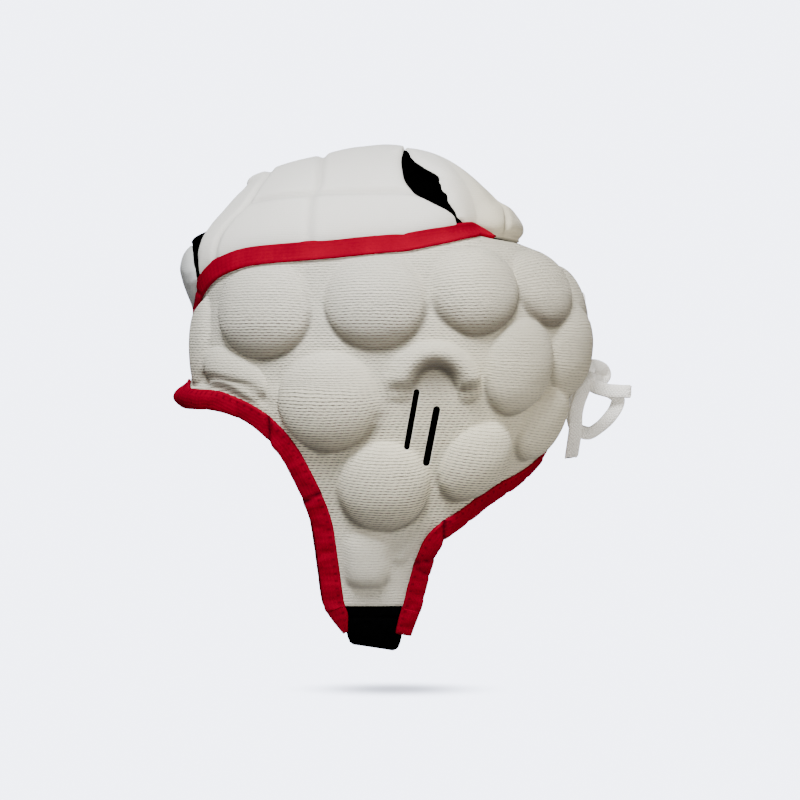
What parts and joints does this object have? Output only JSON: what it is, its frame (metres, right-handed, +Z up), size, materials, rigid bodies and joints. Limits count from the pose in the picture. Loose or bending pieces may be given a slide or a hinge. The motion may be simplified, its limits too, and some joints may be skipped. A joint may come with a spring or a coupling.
{
  "type": "rugby headguard",
  "caption": "Padded soft headguard with moulded foam side pads, vented quilted crown, edge bindings, chin strap and a lace tied at the back.",
  "frame": {"origin": "inside of the crown at its top, on the centre plane, where the top of the head bears", "axes": "+Z up; the wearer faces -Y; the wearer's left is +X"},
  "size_m": [0.1862, 0.2514, 0.2782],
  "materials": {
    "knit": "matt knitted fabric over moulded foam",
    "lining": "matt black knitted lining",
    "binding": "red woven tape with a soft sheen",
    "strap": "black padded webbing",
    "lace": "off-white braided flat lace"
  },
  "bodies": {
    "root": {"left_side_panel": "knit", "right_side_panel": "knit", "left_side_lining": "lining", "right_side_lining": "lining", "crown_front_pad": "knit", "crown_rear_pad": "knit", "crown_left_pad": "knit", "crown_right_pad": "knit", "left_crown_lining": "lining", "right_crown_lining": "lining", "face_binding": "binding", "left_neck_binding": "binding", "right_neck_binding": "binding", "top_binding": "binding", "chin_strap": "strap", "lacing_under_1": "lace", "lacing_over_1": "lace", "lacing_under_2": "lace", "lacing_over_2": "lace", "lacing_under_3": "lace", "lacing_over_3": "lace", "lace_knot": "lace", "lace_loop_low": "lace", "lace_end_low": "lace", "lace_end_back": "lace", "lace_loop_high": "lace"}
  },
  "joints": []
}
